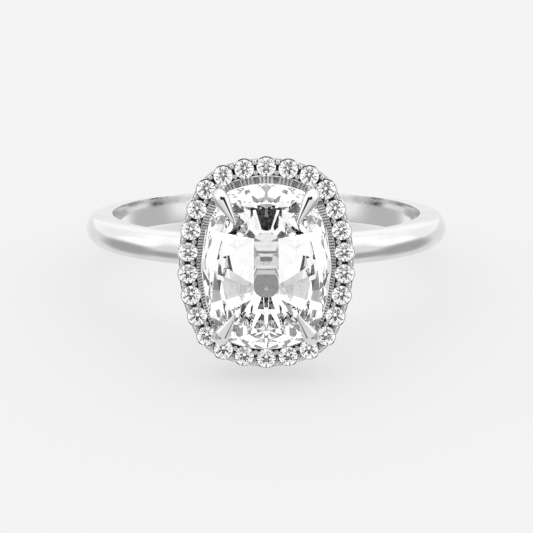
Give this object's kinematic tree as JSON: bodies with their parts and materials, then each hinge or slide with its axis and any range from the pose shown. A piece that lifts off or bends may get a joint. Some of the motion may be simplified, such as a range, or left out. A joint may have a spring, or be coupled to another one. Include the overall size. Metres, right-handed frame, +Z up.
{
  "type": "halo ring",
  "caption": "Finger ring lying on its side: a plain round shank, a cushion-cut centre stone in four long claws and a cushion-shaped halo of small round stones.",
  "frame": {"origin": "on the floor under the middle of the ring's box, with the ring lying on its side as it rests by itself", "axes": "+Z up from the floor, -Y the way the centre stone looks, +X to the right for a person who looks at the stone from the front"},
  "size_m": [0.0194, 0.0239, 0.0107],
  "materials": {
    "white_gold": "polished",
    "center_gem": "polished facets",
    "halo_gem": "polished facets"
  },
  "bodies": {
    "root": {"ring_metal": "white_gold", "center_stone": "center_gem", "halo_stone_01": "halo_gem", "halo_stone_02": "halo_gem", "halo_stone_03": "halo_gem", "halo_stone_04": "halo_gem", "halo_stone_05": "halo_gem", "halo_stone_06": "halo_gem", "halo_stone_07": "halo_gem", "halo_stone_08": "halo_gem", "halo_stone_09": "halo_gem", "halo_stone_10": "halo_gem", "halo_stone_11": "halo_gem", "halo_stone_12": "halo_gem", "halo_stone_13": "halo_gem", "halo_stone_14": "halo_gem", "halo_stone_15": "halo_gem", "halo_stone_16": "halo_gem", "halo_stone_17": "halo_gem", "halo_stone_18": "halo_gem", "halo_stone_19": "halo_gem", "halo_stone_20": "halo_gem", "halo_stone_21": "halo_gem", "halo_stone_22": "halo_gem", "halo_stone_23": "halo_gem", "halo_stone_24": "halo_gem", "halo_stone_25": "halo_gem", "halo_stone_26": "halo_gem"}
  },
  "joints": []
}
